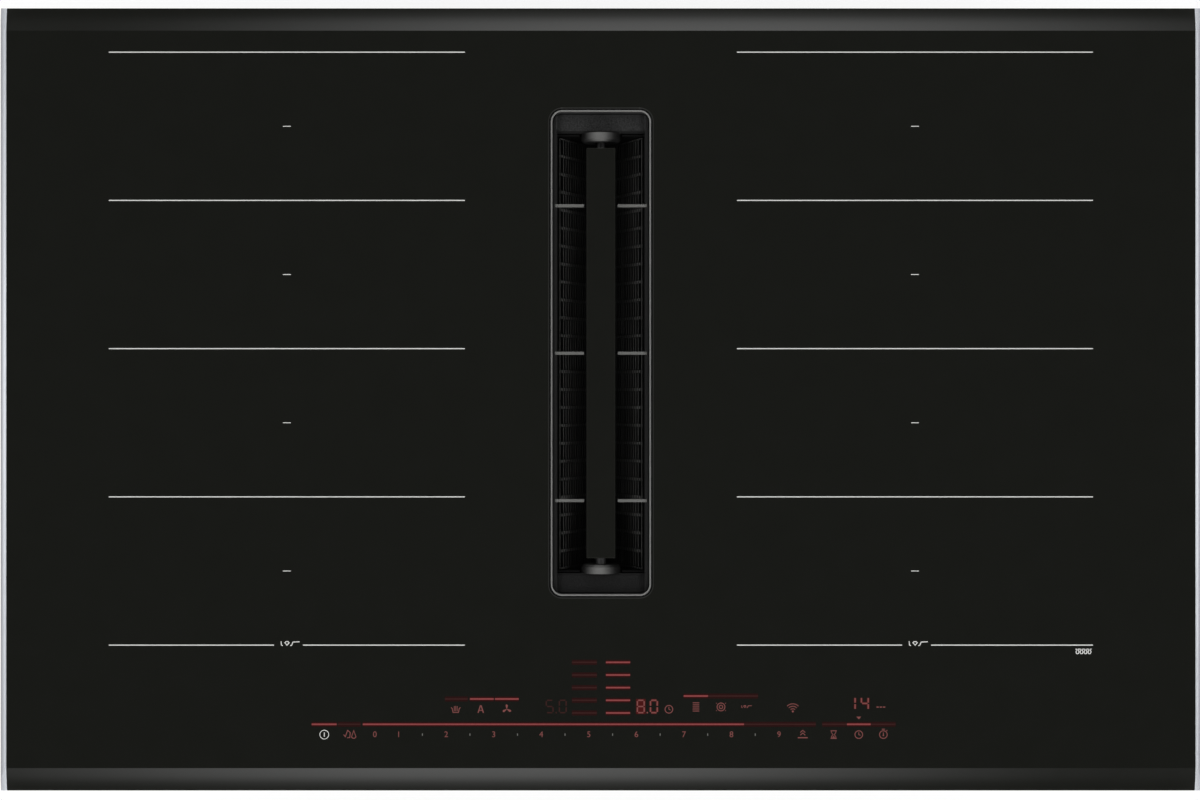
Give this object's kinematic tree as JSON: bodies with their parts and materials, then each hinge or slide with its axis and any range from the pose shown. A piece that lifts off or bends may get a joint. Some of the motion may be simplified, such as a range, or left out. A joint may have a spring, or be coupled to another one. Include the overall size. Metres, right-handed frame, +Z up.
{
  "type": "induction cooktop",
  "caption": "Built-in induction cooktop: black glass plate with metal side trims over oval coils, and a long centre inlet with lift-out grille, grease filter and a fan housing below.",
  "frame": {"origin": "centre of the base that the fan housing stands on", "axes": "+X to the user's right along the wide side, +Y to the back, +Z up through the glass"},
  "size_m": [0.816, 0.532, 0.223],
  "materials": {
    "black_glass": "polished, opaque black",
    "trim_metal": "satin",
    "collar_metal": "satin",
    "seal_foam": "foam",
    "zinc_sheet": "zinc-coated sheet",
    "zinc_screw": "zinc",
    "spring_steel": "spring steel",
    "sensor_ceramic": "matte",
    "dark_plastic": "moulded",
    "pale_plastic": "moulded",
    "grey_plastic": "moulded",
    "circuit_board": "solder mask",
    "filter_carbon": "pleated carbon",
    "housing_plastic": "moulded, grained",
    "motor_metal": "coated",
    "insulation": "fibre sheet",
    "plain_aluminium": "mill",
    "ferrite": "sintered",
    "coil_copper": "enamelled wire",
    "grille_plastic": "grained",
    "boss_metal": "satin dark",
    "bar_gloss": "polished black",
    "rib_metal": "satin",
    "filter_steel": "slotted sheet",
    "tray_plastic": "moulded",
    "shaft_steel": "ground",
    "fan_plastic": "moulded",
    "cup_plastic": "moulded"
  },
  "bodies": {
    "cooktop": {"bonding_frame": "zinc_sheet", "cable_gland": "grey_plastic", "carrier_posts": "dark_plastic", "casing_screws": "zinc_screw", "casing_tray": "zinc_sheet", "coil_temperature_sensors": "sensor_ceramic", "control_board": "circuit_board", "control_board_carrier": "pale_plastic", "display_light_guides": "pale_plastic", "fan_motor": "motor_metal", "fan_scroll": "dark_plastic", "glass_plate": "black_glass", "housing_screws": "zinc_screw", "inlet_collar": "collar_metal", "inlet_seal": "seal_foam", "inlet_shaft": "dark_plastic", "left_coil_1": "coil_copper", "left_coil_2": "coil_copper", "left_coil_3": "coil_copper", "left_coil_4": "coil_copper", "left_coil_carrier": "plain_aluminium", "left_cooling_fan_frame": "dark_plastic", "left_ferrite_bars": "ferrite", "left_heat_sink": "plain_aluminium", "left_insulation_sheet": "insulation", "left_power_board": "circuit_board", "left_side_trim": "trim_metal", "mounting_springs": "spring_steel", "odour_filters": "filter_carbon", "outlet_flange": "grey_plastic", "right_coil_1": "coil_copper", "right_coil_2": "coil_copper", "right_coil_3": "coil_copper", "right_coil_4": "coil_copper", "right_coil_carrier": "plain_aluminium", "right_cooling_fan_frame": "dark_plastic", "right_ferrite_bars": "ferrite", "right_heat_sink": "plain_aluminium", "right_insulation_sheet": "insulation", "right_power_board": "circuit_board", "right_side_trim": "trim_metal", "terminal_block": "pale_plastic", "terminal_cover": "zinc_sheet", "touch_sensor_springs": "spring_steel", "ventilation_housing": "housing_plastic", "worktop_seal": "seal_foam"},
    "inlet_grille": {"grille_bar": "bar_gloss", "grille_bosses": "boss_metal", "grille_frame": "grille_plastic", "grille_pins": "boss_metal", "grille_ribs": "rib_metal"},
    "grease_filter": {"grease_filter_frame": "filter_steel", "grease_filter_mesh": "filter_steel"},
    "drip_tray": {"collecting_tray": "tray_plastic"},
    "fan_rotor": {"fan_impeller": "fan_plastic", "fan_shaft": "shaft_steel"},
    "left_fan_rotor": {"left_cooling_fan_wheel": "fan_plastic"},
    "right_fan_rotor": {"right_cooling_fan_wheel": "fan_plastic"},
    "overflow_cup": {"overflow_container": "cup_plastic"}
  },
  "joints": [
    {"name": "tray_lift", "type": "slide", "parent": "cooktop", "child": "drip_tray", "axis": [0, 0, 1], "range_m": [0, 0.13]},
    {"name": "filter_lift", "type": "slide", "parent": "drip_tray", "child": "grease_filter", "axis": [0, 0, 1], "range_m": [0, 0.09]},
    {"name": "grille_lift", "type": "slide", "parent": "grease_filter", "child": "inlet_grille", "axis": [0, 0, 1], "range_m": [0, 0.05]},
    {"name": "fan_spin", "type": "hinge", "parent": "cooktop", "child": "fan_rotor", "pos_m": [0.1505, -0.06, 0.07], "axis": [0, 0, 1], "continuous": true},
    {"name": "left_cooling_spin", "type": "hinge", "parent": "cooktop", "child": "left_fan_rotor", "pos_m": [-0.3258, -0.06, 0.17], "axis": [0, 0, 1], "continuous": true},
    {"name": "right_cooling_spin", "type": "hinge", "parent": "cooktop", "child": "right_fan_rotor", "pos_m": [0.3258, -0.06, 0.17], "axis": [0, 0, 1], "continuous": true},
    {"name": "container_pull", "type": "slide", "parent": "cooktop", "child": "overflow_cup", "axis": [0, 0, -1], "range_m": [0, 0.095]}
  ]
}
